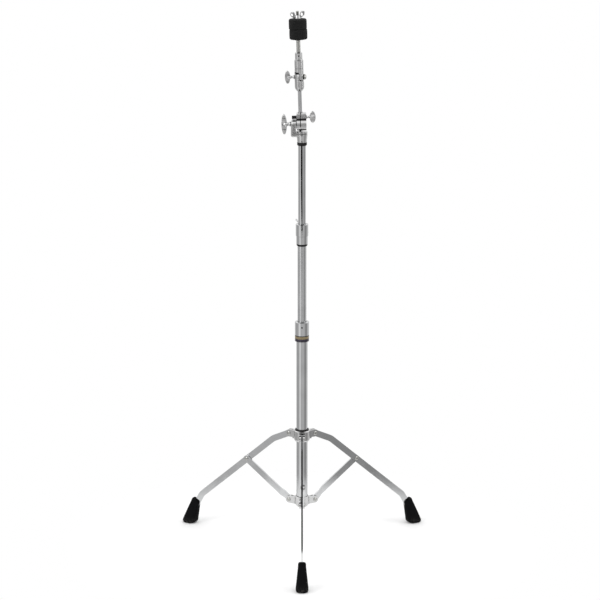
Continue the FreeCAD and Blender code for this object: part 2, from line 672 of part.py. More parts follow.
def post_holder():
    """Turned socket that takes the cymbal post, held by a set screw."""
    r, z0, z1 = HOLDER_R, SLEEVE_Z1, HOLDER_Z1
    body = turned([(0, z0 - 11.5), (HOLDER_SPIGOT_R, z0 - 11.5), (HOLDER_SPIGOT_R, z0),
                   (r + 1.4, z0), (r + 1.4, z0 + 1.2), (r, z0 + 2), (r, z1 - 2.2),
                   (r - 2.2, z1), (0, z1)])
    body = body.cut(upright(POST_R + RUN, POST_Z0, z1 + 1))
    return on_boom(body.cut(rod(SET_SCREW_R + RUN, V(0, 0, SET_SCREW_Z), V(0, -20, SET_SCREW_Z))))


def set_screw():
    z = SET_SCREW_Z
    screw = rod(SET_SCREW_R, V(0, -POST_R - RUN, z), V(0, -HOLDER_R + 0.2, z))
    return on_boom(screw)


def cymbal_post():
    """Post with a shoulder for the felts and a threaded end for the wing nut."""
    seat = FELT_Z0 - SLEEVE_FLANGE
    points = [(0, POST_Z0), (POST_R, POST_Z0), (POST_R, seat - 0.8), (POST_R - 0.8, seat),
              (STUD_R, seat), (STUD_R, THREAD_Z0)]
    turns = int((STUD_TOP - 1.0 - THREAD_Z0) / THREAD_PITCH)
    for k in range(turns):
        z = THREAD_Z0 + k * THREAD_PITCH
        points += [(STUD_R - THREAD_DEPTH, z + THREAD_PITCH / 2), (STUD_R, z + THREAD_PITCH)]
    points += [(STUD_R - 0.9, STUD_TOP), (0, STUD_TOP)]
    return on_boom(turned(points))


def felt_sleeve():
    """Nylon sleeve that keeps the cymbal off the threads."""
    z0, z1 = FELT_Z0 - SLEEVE_FLANGE, FELT_Z0 + 2 * FELT_H - 3
    sleeve = fuse(upright(9.0, z0, FELT_Z0), upright(5.4, z0, z1))
    return on_boom(sleeve.cut(upright(STUD_R + SLIDE, z0 - 1, z1 + 1)))


def felt(z0, shift):
    """Thick felt washer with eased edges."""
    ease, r, z1 = 3.0, FELT_R, z0 + FELT_H
    k = ease * (1 - math.sqrt(0.5))
    disc = turned([(0, z0), (r - ease, z0), (r - k, z0 + k), (r, z0 + ease), (r, z1 - ease),
                   (r - k, z1 - k), (r - ease, z1), (0, z1)])
    return on_boom(moved(disc, V(shift, 0, 0)).cut(upright(FELT_HOLE_R, z0 - 1, z1 + 1)))


def wing_nut():
    """Two-leaf nut on top of the felts."""
    z0 = FELT_Z0 + 2 * FELT_H + FELT_PLAY
    boss = turned([(0, z0), (8.5, z0), (8.5, z0 + 2), (7.0, z0 + 3), (6.2, z0 + 9), (0, z0 + 9)])
    corners = [(4.0, 1.5), (9.0, 1.5), (19.0, 7.5), (20.5, 12.0), (20.5, 16.0), (18.8, 18.2),
               (11.0, 18.2), (9.0, 16.0), (7.0, 9.5), (4.0, 8.0)]
    outline = [V(x, 0, z0 + z) for x, z in corners]
    leaf = Part.Face(Part.makePolygon(outline + outline[:1])).extrude(V(0, NUT_LEAF_T, 0))
    leaf = moved(leaf, V(0, -NUT_LEAF_T / 2, 0))
    leaf = leaf.makeFillet(NUT_LEAF_EASE, [e for e in leaf.Edges if e.BoundBox.XMin > 8.5])
    nut = fuse(boss, leaf, about(leaf, 180))
    nut = nut.cut(upright(STUD_R + RUN, z0 - 1, z0 + 20))
    return on_boom(about(nut, WING_NUT_TURN))


# ---------- everything, one file per piece ----------

for index, angle in enumerate(LEG_ANGLES, start=1):
    save(about(leg_bar(), angle), "leg_%d" % index)
    save(about(foot(), angle), "rubber_foot_%d" % index)
    save(about(brace(), angle), "brace_%d" % index)
    save(about(brace_rivet(), angle), "brace_rivet_%d" % index)

PIECES = {
    "base_tube": base_tube(),
    "lower_hub": lower_hub(),
    "hub_pin": hub_pin(),
    "hub_rivets": spider_rivets(HUB_PIVOT_Z),
    "leg_crown": leg_crown(),
    "crown_bushing": crown_bushing(),
    "crown_rivets": spider_rivets(CROWN_PIVOT_Z),
    "crown_wing_screw": collar_screw(CROWN_SLEEVE_R + SLIDE + RUN, CROWN_R + 5 - BOSS_STEP,
                                     CROWN_PIVOT_Z, 0),
    "lower_clamp": lower_clamp(),
    "lower_clamp_band": pipe(LOW_CLAMP_R, BASE_R + RUN, LOW_RING_Z0, LOW_CLAMP_Z0),
    "lower_clamp_peg": peg(BASE_R + SLIDE + RUN, LOW_CLAMP_R + 0.3, LOW_SCREW_Z),
    "lower_clamp_wing_screw": collar_screw(BASE_R + SLIDE + RUN, LOW_CLAMP_R, LOW_SCREW_Z, 0),
    "lower_bushing": lower_bushing(),
    "middle_tube": pipe(MID_R, MID_R - MID_WALL, LOW_CLAMP_Z1 - MID_HIDDEN, MID_TOP),
    "upper_clamp": upper_clamp(),
    "upper_clamp_ring": upper_trim_ring(),
    "upper_clamp_peg": peg(UP_SLEEVE_R + SLIDE + RUN, UP_CLAMP_R + 0.3, UP_SCREW_Z),
    "upper_clamp_wing_screw": collar_screw(UP_SLEEVE_R + SLIDE + RUN, UP_CLAMP_R, UP_SCREW_Z,
                                           UP_WING_TURN),
    "upper_bushing": upper_bushing(),
    "upper_tube": pipe(UP_R, UP_R - UP_WALL, UP_CLAMP_Z1 - UP_HIDDEN, UP_TOP),
    "tilter_ring": tilter_ring(),
    "tilter_base": tilter_base(),
    "tilt_friction_disc": tilt_disc(),
    "tilt_wing_screw": tilt_screw(),
    "rod_clamp": rod_clamp(),
    "rod_liner": rod_liner(),
    "rod_clamp_wing_screw": squeeze_screw(),
    "rod_clamp_nut": squeeze_nut(),
    "boom_rod": boom_rod(),
    "boom_end_cap": boom_end_cap(),
    "cymbal_tilter_base": cymbal_tilter_base(),
    "cymbal_tilter_head": cymbal_tilter_head(),
    "cymbal_tilter_washer": lap_washer(),
    "cymbal_tilter_wing_screw": head_screw(),
    "cymbal_tilter_nut": head_nut(),
    "post_holder": post_holder(),
    "post_set_screw": set_screw(),
    "cymbal_post": cymbal_post(),
    "felt_sleeve": felt_sleeve(),
    "lower_felt": felt(FELT_Z0, FELT_SHIFT),
    "upper_felt": felt(FELT_Z0 + FELT_H + FELT_PLAY, 0.0),
    "wing_nut": wing_nut(),
}
for name, piece in PIECES.items():
    save(piece, name)
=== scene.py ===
import json
import math

import bmesh
import bpy
from mathutils import Matrix, Vector, noise


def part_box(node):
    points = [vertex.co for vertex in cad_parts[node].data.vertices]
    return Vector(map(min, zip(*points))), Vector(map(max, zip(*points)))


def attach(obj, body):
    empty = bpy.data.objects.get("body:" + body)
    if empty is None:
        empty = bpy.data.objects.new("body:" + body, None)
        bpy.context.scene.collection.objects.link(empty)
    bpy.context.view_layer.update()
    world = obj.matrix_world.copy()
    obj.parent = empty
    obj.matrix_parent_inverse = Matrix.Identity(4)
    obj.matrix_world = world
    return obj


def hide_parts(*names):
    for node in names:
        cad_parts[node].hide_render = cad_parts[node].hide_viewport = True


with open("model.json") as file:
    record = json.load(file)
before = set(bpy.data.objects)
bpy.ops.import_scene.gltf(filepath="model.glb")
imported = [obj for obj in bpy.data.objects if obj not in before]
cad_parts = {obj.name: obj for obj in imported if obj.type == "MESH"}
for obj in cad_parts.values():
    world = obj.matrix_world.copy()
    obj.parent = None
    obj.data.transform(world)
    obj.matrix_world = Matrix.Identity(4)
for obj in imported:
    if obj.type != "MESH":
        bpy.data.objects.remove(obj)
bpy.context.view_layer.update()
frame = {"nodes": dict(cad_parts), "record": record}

NODES = frame["nodes"]
MM = 0.001


# ---------- camera ----------

# A long lens looks down at the mast from six metres, so the stand is drawn almost flat.
CAMERA_DISTANCE = 6.0
CAMERA_PITCH = math.radians(14.0)
AIM_HEIGHT = 0.644       # height on the mast that sits at the picture's middle
CAMERA_SIDE = -0.005     # the mast stands a little right of the middle
LENS, SENSOR = 144.0, 36.0
CLIP_END = 60.0


def make_camera():
    data = bpy.data.cameras.new("camera")
    data.lens = LENS
    data.sensor_width = SENSOR
    data.clip_end = CLIP_END
    camera = bpy.data.objects.new("camera", data)
    bpy.context.scene.collection.objects.link(camera)
    away = Vector((0, -math.cos(CAMERA_PITCH), math.sin(CAMERA_PITCH)))
    camera.location = Vector((CAMERA_SIDE, 0, AIM_HEIGHT)) + away * CAMERA_DISTANCE
    camera.rotation_euler = (-away).to_track_quat("-Z", "Y").to_euler()
    bpy.context.scene.camera = camera


# ---------- node helpers ----------

class Graph:
    """Short calls for building one node tree."""

    def __init__(self, tree):
        self.tree = tree
        tree.nodes.clear()

    def add(self, kind, **settings):
        node = self.tree.nodes.new(kind)
        for key, value in settings.items():
            setattr(node, key, value)
        return node

    def link(self, source, node, socket):
        self.tree.links.new(source, node.inputs[socket])

    def math(self, operation, a, b=0.0):
        node = self.add("ShaderNodeMath", operation=operation)
        for index, value in enumerate((a, b)):
            if isinstance(value, (int, float)):
                node.inputs[index].default_value = value
            else:
                self.link(value, node, index)
        return node.outputs[0]

    def remap(self, value, low, high, to_low=0.0, to_high=1.0, smooth=False):
        node = self.add("ShaderNodeMapRange")
        if smooth:
            node.interpolation_type = "SMOOTHSTEP"
        self.link(value, node, "Value")
        for name, number in (("From Min", low), ("From Max", high),
                             ("To Min", to_low), ("To Max", to_high)):
            node.inputs[name].default_value = number
        return node.outputs["Result"]

    def ramp(self, value, stops, mode="LINEAR"):
        node = self.add("ShaderNodeValToRGB")
        node.color_ramp.interpolation = mode
        elements = node.color_ramp.elements
        while len(elements) < len(stops):
            elements.new(0.5)
        for element, (place, colour) in zip(elements, stops):
            element.position = place
            element.color = colour if len(colour) == 4 else (*colour, 1.0)
        self.link(value, node, "Fac")
        return node.outputs["Color"]

    def noise(self, where, scale, detail=3.0, stretch=(1, 1, 1), rough=0.5):
        """Noise over the object's own coordinates; scale is in cycles to the metre."""
        mapping = self.add("ShaderNodeMapping")
        mapping.inputs["Scale"].default_value = stretch
        self.link(where, mapping, "Vector")
        node = self.add("ShaderNodeTexNoise")
        self.link(mapping.outputs["Vector"], node, "Vector")
        node.inputs["Scale"].default_value = scale
        node.inputs["Detail"].default_value = detail
        node.inputs["Roughness"].default_value = rough
        return node.outputs["Fac"]

    def bump(self, height, strength, distance, after=None):
        node = self.add("ShaderNodeBump")
        node.inputs["Strength"].default_value = strength
        node.inputs["Distance"].default_value = distance
        self.link(height, node, "Height")
        if after is not None:
            self.link(after, node, "Normal")
        return node.outputs["Normal"]


def grey(level):
    return (level, level, level)


# ---------- light ----------

# Brightness of the studio round the stand, by compass direction from the camera's side.
# Turns run from behind, through the left, the camera (0.5) and the right, to behind again
STUDIO_RING = [(0.00, 0.90), (0.11, 0.75), (0.22, 0.48), (0.31, 0.56), (0.39, 1.05),
               (0.47, 0.58), (0.54, 0.64), (0.61, 0.60), (0.66, 0.38), (0.72, 0.34),
               (0.79, 0.70), (0.89, 0.85), (1.00, 0.90)]
# Brightness overhead, by the sine of the elevation: bright panels round a dark ceiling
CEILING = [(0.0, 1.25), (0.78, 1.35), (0.90, 0.45), (0.96, 0.05), (1.0, 0.02)]
CEILING_FROM, CEILING_TO = 0.12, 0.60        # sines between which the ring gives way
BACKDROP = 1.0           # what the camera itself sees


def make_world():
    world = bpy.data.worlds.new("studio")
    bpy.context.scene.world = world
    world.use_nodes = True
    graph = Graph(world.node_tree)
    place = graph.add("ShaderNodeTexCoord")
    split = graph.add("ShaderNodeSeparateXYZ")
    graph.link(place.outputs["Generated"], split, 0)
    toward = graph.math("MULTIPLY", split.outputs["Y"], -1.0)
    angle = graph.math("ARCTAN2", split.outputs["X"], toward)
    turn = graph.remap(angle, -math.pi, math.pi)
    ring = graph.ramp(turn, [(at, grey(level)) for at, level in STUDIO_RING], "EASE")
    rise = graph.remap(split.outputs["Z"], CEILING_FROM, CEILING_TO, smooth=True)
    above = graph.ramp(split.outputs["Z"], [(at, grey(level)) for at, level in CEILING])
    mix = graph.add("ShaderNodeMix", data_type="RGBA")
    graph.link(rise, mix, "Factor")
    graph.link(ring, mix, "A")
    graph.link(above, mix, "B")
    studio = graph.add("ShaderNodeBackground")
    graph.link(mix.outputs["Result"], studio, "Color")
    backdrop = graph.add("ShaderNodeBackground")
    backdrop.inputs["Color"].default_value = (*grey(BACKDROP), 1.0)
    rays = graph.add("ShaderNodeLightPath")
    choose = graph.add("ShaderNodeMixShader")
    graph.link(rays.outputs["Is Camera Ray"], choose, "Fac")
    graph.link(studio.outputs[0], choose, 1)
    graph.link(backdrop.outputs[0], choose, 2)
    output = graph.add("ShaderNodeOutputWorld")
    graph.link(choose.outputs[0], output, "Surface")


# Softboxes: name, place, point aimed at, width, height, watts
SOFTBOXES = (
    ("top_box", (0.3, -0.6, 3.4), (0, 0, 0.4), 2.2, 2.2, 26.0),
    ("left_box", (-2.6, -1.8, 2.0), (0, 0, 0.7), 0.9, 2.0, 20.0),
    ("right_box", (2.9, -0.8, 1.7), (0, 0, 0.7), 0.8, 1.8, 12.0),
)


def make_lights():
    for name, place, aim, width, height, watts in SOFTBOXES:
        data = bpy.data.lights.new(name, "AREA")
        data.shape = "RECTANGLE"
        data.size, data.size_y, data.energy = width, height, watts
        light = bpy.data.objects.new(name, data)
        bpy.context.scene.collection.objects.link(light)
        light.location = place
        light.rotation_euler = (Vector(aim) - Vector(place)).to_track_quat("-Z", "Y").to_euler()
        light.visible_camera = False
        light.visible_glossy = name != "top_box"


FLOOR_RADIUS, FLOOR_FADE = 0.62, 0.385
FLOOR_RINGS, FLOOR_SIDES = 24, 96
FLOOR_GRAIN, FLOOR_TONES = 9.0, (0.90, 0.94)
FLOOR_ROUGHNESS, FLOOR_SPECULAR = 0.7, 0.1
# Corners of a black cloth on the floor, which reflections show and the camera doesn't see
DARK_MAT = ((-3.0, -3.75), (1.1, -3.75), (1.7, -5.9), (-4.6, -5.9))
CLOTH_TONE = 0.01


def make_floor():
    floor = mesh_object("floor", *disc(FLOOR_RADIUS, FLOOR_RINGS, FLOOR_SIDES))
    material = bpy.data.materials.new("pale_floor")
    material.use_nodes = True
    graph = Graph(material.node_tree)
    place = graph.add("ShaderNodeTexCoord")
    length = graph.add("ShaderNodeVectorMath", operation="LENGTH")
    graph.link(place.outputs["Object"], length, 0)
    cover = graph.remap(length.outputs["Value"], FLOOR_FADE, FLOOR_RADIUS, 1.0, 0.0, True)
    grain = graph.noise(place.outputs["Object"], FLOOR_GRAIN)
    low, high = FLOOR_TONES
    colour = graph.ramp(grain, [(0.3, grey(low)), (0.7, grey(high))])
    shader = graph.add("ShaderNodeBsdfPrincipled")
    graph.link(colour, shader, "Base Color")
    graph.link(cover, shader, "Alpha")
    shader.inputs["Roughness"].default_value = FLOOR_ROUGHNESS
    shader.inputs["Specular IOR Level"].default_value = FLOOR_SPECULAR
    output = graph.add("ShaderNodeOutputMaterial")
    graph.link(shader.outputs[0], output, "Surface")
    floor.data.materials.append(material)


def make_cloth():
    cloth = mesh_object("black_cloth", [Vector((x, y, 0.0)) for x, y in DARK_MAT],
                        [(0, 1, 2, 3)])
    material = bpy.data.materials.new("black_cloth")
    material.use_nodes = True
    graph = Graph(material.node_tree)
    shader = graph.add("ShaderNodeBsdfDiffuse")
    shader.inputs["Color"].default_value = (*grey(CLOTH_TONE), 1.0)
    output = graph.add("ShaderNodeOutputMaterial")
    graph.link(shader.outputs[0], output, "Surface")
    cloth.data.materials.append(material)
    cloth.visible_camera = False


# ---------- mesh helpers ----------

def mesh_object(name, points, faces, smooth=True):
    mesh = bpy.data.meshes.new(name)
    mesh.from_pydata([tuple(p) for p in points], [], faces)
    mesh.update()
    if smooth:
        mesh.shade_smooth()
    made = bpy.data.objects.new(name, mesh)
    bpy.context.scene.collection.objects.link(made)
    return made


def disc(radius, rings, sides):
    """Flat disc of rings round a centre point."""
    points = [Vector((0, 0, 0))]
    for ring in range(1, rings + 1):
        for side in range(sides):
            angle = 2 * math.pi * side / sides
            reach = radius * ring / rings
            points.append(Vector((reach * math.cos(angle), reach * math.sin(angle), 0)))
    faces = [(0, 1 + side, 1 + (side + 1) % sides) for side in range(sides)]
    for ring in range(1, rings):
        inner, outer = 1 + (ring - 1) * sides, 1 + ring * sides
        for side in range(sides):
            after = (side + 1) % sides
            faces.append((inner + side, outer + side, outer + after, inner + after))
    return points, faces


# ---------- materials ----------

def new_material(name):
    material = bpy.data.materials.new(name)
    material.use_nodes = True
    graph = Graph(material.node_tree)
    place = graph.add("ShaderNodeTexCoord").outputs["Object"]
    shader = graph.add("ShaderNodeBsdfPrincipled")
    output = graph.add("ShaderNodeOutputMaterial")
    graph.link(shader.outputs[0], output, "Surface")
    return material, graph, place, shader


CREASE_SHADE_REACH, CREASE_SHADE_DARK = 0.004, 0.12      # how far painted shade reaches into creases where parts meet, and how dark it gets there
DULL = 0.90              # share of the tint that the duller patches keep
# Cycles to the metre of the soft smudges, the finer ones and the wipe marks
METAL_CLOUD, METAL_FINE, METAL_MARKS = 28.0, 160.0, 1500.0
PIT_DEPTH, MARK_DEPTH, MARK_STRENGTH = 0.0002, 0.0001, 0.05


def metal(name, tint, roughness, smudge, scratch, pit, pit_scale, along=(1, 1, 0.03)):
    """Plated or bare metal: smudges, fine wipe marks along one way, cast pits, and painted shade
    that darkens the colour in creases.
    """
    material, graph, place, shader = new_material(name)
    cloud = graph.noise(place, METAL_CLOUD, 4.0)
    fine = graph.noise(place, METAL_FINE, 3.0)
    marks = graph.noise(place, METAL_MARKS, 2.0, along)
    dark = tuple(DULL * level for level in tint)
    plate = graph.ramp(cloud, [(0.30, dark), (0.62, tint)])
    # Painted shade: ambient occlusion darkens the base colour in creases and where parts meet
    crease_shade = graph.add("ShaderNodeAmbientOcclusion", samples=6)
    crease_shade.inputs["Distance"].default_value = CREASE_SHADE_REACH
    depth = graph.remap(crease_shade.outputs["AO"], 0.25, 0.85, CREASE_SHADE_DARK, 1.0)
    mix = graph.add("ShaderNodeMix", data_type="RGBA", blend_type="MULTIPLY")
    mix.inputs["Factor"].default_value = 1.0
    graph.link(plate, mix, "A")
    graph.link(depth, mix, "B")
    graph.link(mix.outputs["Result"], shader, "Base Color")
    low, high = roughness, roughness + smudge
    blotch = graph.remap(graph.math("MULTIPLY", cloud, fine), 0.18, 0.42, low, high)
    streak = graph.remap(marks, 0.55, 0.75, 0.0, scratch)
    graph.link(graph.math("ADD", blotch, streak), shader, "Roughness")
    shader.inputs["Metallic"].default_value = 1.0
    rough_skin = graph.noise(place, pit_scale, 2.0)
    skin = graph.bump(rough_skin, pit, PIT_DEPTH)
    graph.link(graph.bump(marks, MARK_STRENGTH, MARK_DEPTH, skin), shader, "Normal")
    return material


MOULD_CLOUD, MOULD_LIGHT, MOULD_MOTTLE = 60.0, 1.5, 0.14
GRAIN_DEPTH = 0.00015
DUST_HEIGHT, DUST_PATCHES, DUST_TINT = 0.022, 220.0, (0.22, 0.21, 0.19, 1.0)


def moulded(name, tint, roughness, specular, grain_scale, grain, dust=0.0):
    """Black rubber or nylon: mould grain, a mottled sheen and, low down, dust."""
    material, graph, place, shader = new_material(name)
    cloud = graph.noise(place, MOULD_CLOUD, 4.0)
    light = tuple(min(1.0, MOULD_LIGHT * level) for level in tint)
    colour = graph.ramp(cloud, [(0.35, tint), (0.70, light)])
    if dust:
        split = graph.add("ShaderNodeSeparateXYZ")
        graph.link(place, split, 0)
        near = graph.remap(split.outputs["Z"], 0.0, DUST_HEIGHT, 1.0, 0.0, True)
        patches = graph.remap(graph.noise(place, DUST_PATCHES, 5.0), 0.45, 0.70)
        mix = graph.add("ShaderNodeMix", data_type="RGBA")
        amount = graph.math("MULTIPLY", graph.math("MULTIPLY", near, patches), dust)
        graph.link(amount, mix, "Factor")
        graph.link(colour, mix, "A")
        mix.inputs["B"].default_value = DUST_TINT
        colour = mix.outputs["Result"]
    graph.link(colour, shader, "Base Color")
    mottled = graph.remap(cloud, 0.3, 0.7, roughness, roughness + MOULD_MOTTLE)
    graph.link(mottled, shader, "Roughness")
    shader.inputs["Specular IOR Level"].default_value = specular
    grains = graph.noise(place, grain_scale, 2.0)
    graph.link(graph.bump(grains, grain, GRAIN_DEPTH), shader, "Normal")
    return material


# Cycles to the metre, detail, stretch and roughness of the felt's clumps and of its hairs
FELT_CLUMPS = (260.0, 5.0, (1, 1, 2.2), 0.65)
FELT_HAIRS = (1900.0, 3.0, (1, 1, 3.0), 0.7)
CLUMP_SHARE, HAIR_SHARE = 0.55, 0.45
FELT_TONES = ((0.34, 0.004), (0.52, 0.012), (0.70, 0.034))
FELT_FINISH = (("Roughness", 0.95), ("Specular IOR Level", 0.08), ("Sheen Weight", 0.04),
               ("Sheen Roughness", 0.6))


def felt_material():
    material, graph, place, shader = new_material("black_felt")
    clumps = graph.noise(place, *FELT_CLUMPS)
    hairs = graph.noise(place, *FELT_HAIRS)
    both = graph.math("ADD", graph.math("MULTIPLY", clumps, CLUMP_SHARE),
                      graph.math("MULTIPLY", hairs, HAIR_SHARE))
    tones = [(at, grey(level)) for at, level in FELT_TONES]
    graph.link(graph.ramp(both, tones), shader, "Base Color")
    for socket, value in FELT_FINISH:
        shader.inputs[socket].default_value = value
    lumps = graph.bump(clumps, 0.6, 0.0012)
    graph.link(graph.bump(hairs, 0.8, 0.0006, lumps), shader, "Normal")
    return material


# Stripes on the lower ring, as (height up the band from 0 to 1, colour)
STRIPES = [(0.00, (0.022, 0.016, 0.034)), (0.34, (0.050, 0.036, 0.085)),
           (0.40, (0.012, 0.010, 0.012)), (0.46, (0.30, 0.235, 0.12)),
           (0.78, (0.33, 0.26, 0.14)), (0.86, (0.012, 0.012, 0.012))]
INK_GRAIN, INK_LOW, INK_HIGH = 700.0, 0.55, 0.9      # how unevenly the ink lies
BAND_SMUDGE, BAND_SHEEN, BAND_COAT = 90.0, (0.22, 0.38), 0.25


def stripe_material():
    material, graph, place, shader = new_material("striped_band")
    low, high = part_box("lower_clamp_band")
    split = graph.add("ShaderNodeSeparateXYZ")
    graph.link(place, split, 0)
    height = graph.remap(split.outputs["Z"], low.z, high.z)
    ink = graph.remap(graph.noise(place, INK_GRAIN, 3.0), 0.2, 0.8, INK_LOW, INK_HIGH)
    mix = graph.add("ShaderNodeMix", data_type="RGBA", blend_type="MULTIPLY")
    mix.inputs["Factor"].default_value = 1.0
    graph.link(graph.ramp(height, STRIPES, "CONSTANT"), mix, "A")
    graph.link(ink, mix, "B")
    graph.link(mix.outputs["Result"], shader, "Base Color")
    sheen = graph.remap(graph.noise(place, BAND_SMUDGE), 0.3, 0.7, *BAND_SHEEN)
    graph.link(sheen, shader, "Roughness")
    shader.inputs["Coat Weight"].default_value = BAND_COAT
    graph.link(graph.bump(graph.noise(place, 1200.0), 0.2, 0.0001), shader, "Normal")
    return material


def make_materials():
    chrome = (0.60, 0.605, 0.61)
    even = (1, 1, 1)
    # metal: tint, roughness, smudge, scratch, pit, pits to the metre, way the marks run
    # moulded: tint, roughness, specular, grain to the metre, grain, dust
    return {
        "chrome": metal("polished_chrome", chrome, 0.03, 0.05, 0.04, 0.03, 500.0),
        "satin": metal("rubbed_chrome", chrome, 0.17, 0.10, 0.08, 0.05, 500.0),
        "cast": metal("plated_casting", (0.60, 0.60, 0.60), 0.09, 0.12, 0.05, 0.30, 420.0,
                      (1, 1, 0.4)),
        "strip": metal("plated_strip", chrome, 0.07, 0.10, 0.10, 0.12, 300.0, (0.2, 0.2, 1)),
        "steel": metal("zinc_steel", (0.46, 0.46, 0.44), 0.22, 0.16, 0.12, 0.25, 800.0, even),
        "oxide": metal("black_oxide", (0.030, 0.030, 0.032), 0.30, 0.15, 0.10, 0.2, 700.0,
                       even),
        "nylon": moulded("black_nylon", (0.006, 0.006, 0.0065), 0.36, 0.22, 900.0, 0.25),
        "rubber": moulded("black_rubber", (0.0030, 0.0030, 0.0034), 0.62, 0.05, 1300.0, 0.55,
                          0.16),
        "felt": felt_material(),
        "band": stripe_material(),
    }


BY_SLOT = {"chrome": "chrome", "cast_chrome": "cast", "steel": "steel", "rubber": "rubber",
           "black_nylon": "nylon", "black_steel": "oxide", "band": "band", "felt": "felt"}
BY_NODE = {"middle_tube": "satin", "leg_crown": "cast", "lower_hub": "cast",
           "tilter_base": "cast", "rod_clamp": "cast", "cymbal_tilter_base": "cast",
           "cymbal_tilter_head": "cast", "post_holder": "cast"}
BY_NODE.update({f"{kind}_{number}": "strip" for kind in ("leg", "brace") for number in (1, 2, 3)})


def dress_nodes(materials):
    """Give each CAD node the finish of its record slot, or its own."""
    slots = {part["node"]: part["material_slot"] for part in frame["record"]["subparts"]}
    for name, made in NODES.items():
        finish = BY_NODE.get(name) or BY_SLOT[slots[name]]
        made.data.materials.clear()
        made.data.materials.append(materials[finish])


# ---------- sculpted pieces ----------

LEAN = Matrix.Rotation(math.radians(-1.6), 4, "Y")
TILT_POINT = Vector((0, 0, 1090.0))         # millimetres, as are the sizes below
WELD = 1e-7                                 # metres


def place_piece(name, points, faces, matrix, body, slot, finish, nodes):
    """A piece drawn in millimetres, put in place, standing for CAD nodes."""
    made = mesh_object(name, [(matrix @ Vector(p)) * MM for p in points], faces)
    fix_normals(made.data)
    made.data.materials.append(MATERIALS[finish])
    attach(made, body)
    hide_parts(*nodes)
    return made


def fix_normals(mesh):
    work = bmesh.new()
    work.from_mesh(mesh)
    bmesh.ops.remove_doubles(work, verts=work.verts, dist=WELD)
    bmesh.ops.recalc_face_normals(work, faces=work.faces)
    work.to_mesh(mesh)
    work.free()
    mesh.shade_smooth()


def rings_to_faces(count, sides, closed=False):
    """Quads between successive rings of points; closed joins the last ring to the first."""
    faces = []
    for ring in range(count if closed else count - 1):
        low, high = ring * sides, ((ring + 1) % count) * sides
        for side in range(sides):
            after = (side + 1) % sides
            faces.append((low + side, low + after, high + after, high + side))
    return faces


def noise_at(point, scale):
    return noise.noise(Vector(point) * scale)


def leaned(point):
    """Matrix that puts a local point's frame in place on the leaning boom."""
    about = Matrix.Translation(TILT_POINT) @ LEAN @ Matrix.Translation(-TILT_POINT)
    return about @ Matrix.Translation(Vector(point))


# Felts: a washer with eased corners, crowned faces and a matted, layered side
FELT_R, FELT_HALF, FELT_BORE = 22.15, 12.4, 6.4
FELT_CROWN, FELT_FUZZ = 0.3, 0.34
FELT_FACE_CROWN = 0.18                      # how far the flat faces rise at their middle
MAT_SCALE, MAT_FINE, LAYER_ROUND, LAYER_UP = 0.8, 2.1, 0.12, 1.1     # cycles to the millimetre
FELT_SIDES, FELT_RISE, FELT_FLAT, FELT_TURN = 128, 30, 12, 7
# node, piece, and how far its lower and upper corners are eased
FELTS = (("lower_felt", "lower_felt_pad", 3.4, 1.3), ("upper_felt", "upper_felt_pad", 1.3, 2.8))


def felt_corner(ease):
    """Radius and depth from the flat face inward, from the bore to the start of the side."""
    points = []
    for step in range(FELT_FLAT):
        share = step / FELT_FLAT
        r = FELT_BORE + (FELT_R - ease - FELT_BORE) * share
        points.append((r, FELT_FACE_CROWN * (1 - math.sin(math.pi * share))))
    for step in range(FELT_TURN):
        angle = math.pi / 2 * step / FELT_TURN
        points.append((FELT_R - ease + ease * math.sin(angle) - FELT_CROWN,
                       ease * (1 - math.cos(angle)) + FELT_FACE_CROWN))
    return points


def felt_profile(low_ease, high_ease):
    low = [(r, depth - FELT_HALF) for r, depth in felt_corner(low_ease)]
    high = [(r, FELT_HALF - depth) for r, depth in felt_corner(high_ease)]
    side = []
    for step in range(FELT_RISE + 1):
        share = step / FELT_RISE
        z = low_ease - FELT_HALF + (2 * FELT_HALF - low_ease - high_ease) * share
        side.append((FELT_R - FELT_CROWN * (2 * share - 1) ** 2, z))
    return low + side + high[::-1]


def felt_piece(node, name, low_ease, high_ease):
    low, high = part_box(node)
    centre = (low + high) / 2 / MM
    profile = felt_profile(low_ease, high_ease)
    points = []
    for r, z in profile:
        for side in range(FELT_SIDES):
            angle = 2 * math.pi * side / FELT_SIDES
            spot = Vector((r * math.cos(angle), r * math.sin(angle), z)) + centre
            mat = noise_at(spot, MAT_SCALE) + 0.6 * noise_at(spot, MAT_FINE)
            layer = noise_at((spot.x * LAYER_ROUND, spot.y * LAYER_ROUND, spot.z * LAYER_UP), 1.0)
            outer = max(0.0, min(1.0, (r - FELT_BORE) / 4.0))
            push = outer * FELT_FUZZ * (0.45 * mat + 0.55 * layer - 0.4)
            reach = r + push
            points.append((reach * math.cos(angle), reach * math.sin(angle),
                           z * (1 + 0.012 * mat * outer)))
    faces = rings_to_faces(len(profile), FELT_SIDES, closed=True)
    matrix = Matrix.Translation(centre) @ LEAN
    piece = place_piece(name, points, faces, matrix, "cymbal_head", "felt", "felt", [node])


# Rubber boots, drawn on +X and then turned to their leg
BOOT_SOLE, BOOT_SOLE_AT = (20.0, 16.5), Vector((341.0, 0, 0))
BOOT_TOP, BOOT_TOP_AT = (11.0, 9.0), Vector((318.5, 0, 66.5))
BOOT_TIP = math.radians(-26.0)
BOOT_FOOT_RINGS, BOOT_RINGS, BOOT_SIDES = 12, 84, 72
BOOT_RIBS, BOOT_RIB_Z0, BOOT_RIB_STEP, BOOT_RIB_DEPTH = 6, 17.0, 6.5, 1.5
BOOT_RIB_HALF = 1.7                         # half the width of a groove
BOOT_ROCKER, BOOT_ROUND_X, BOOT_ROUND_Y = 8.5, 10.5, 5.0    # the sole's rounded rim
BOOT_SQUARE, BOOT_SOFTEN = 3.4, 0.5         # how square the sole is, and how much less the top
LIP, LIP_AT, LIP_WIDTH = 0.45, 0.93, 0.03   # swollen rim near the top, in shares of the height
MOUTH, MOUTH_FROM = 1.8, 0.965              # the rim's inward turn
SOLE_INSETS = (6.0, 3.0)
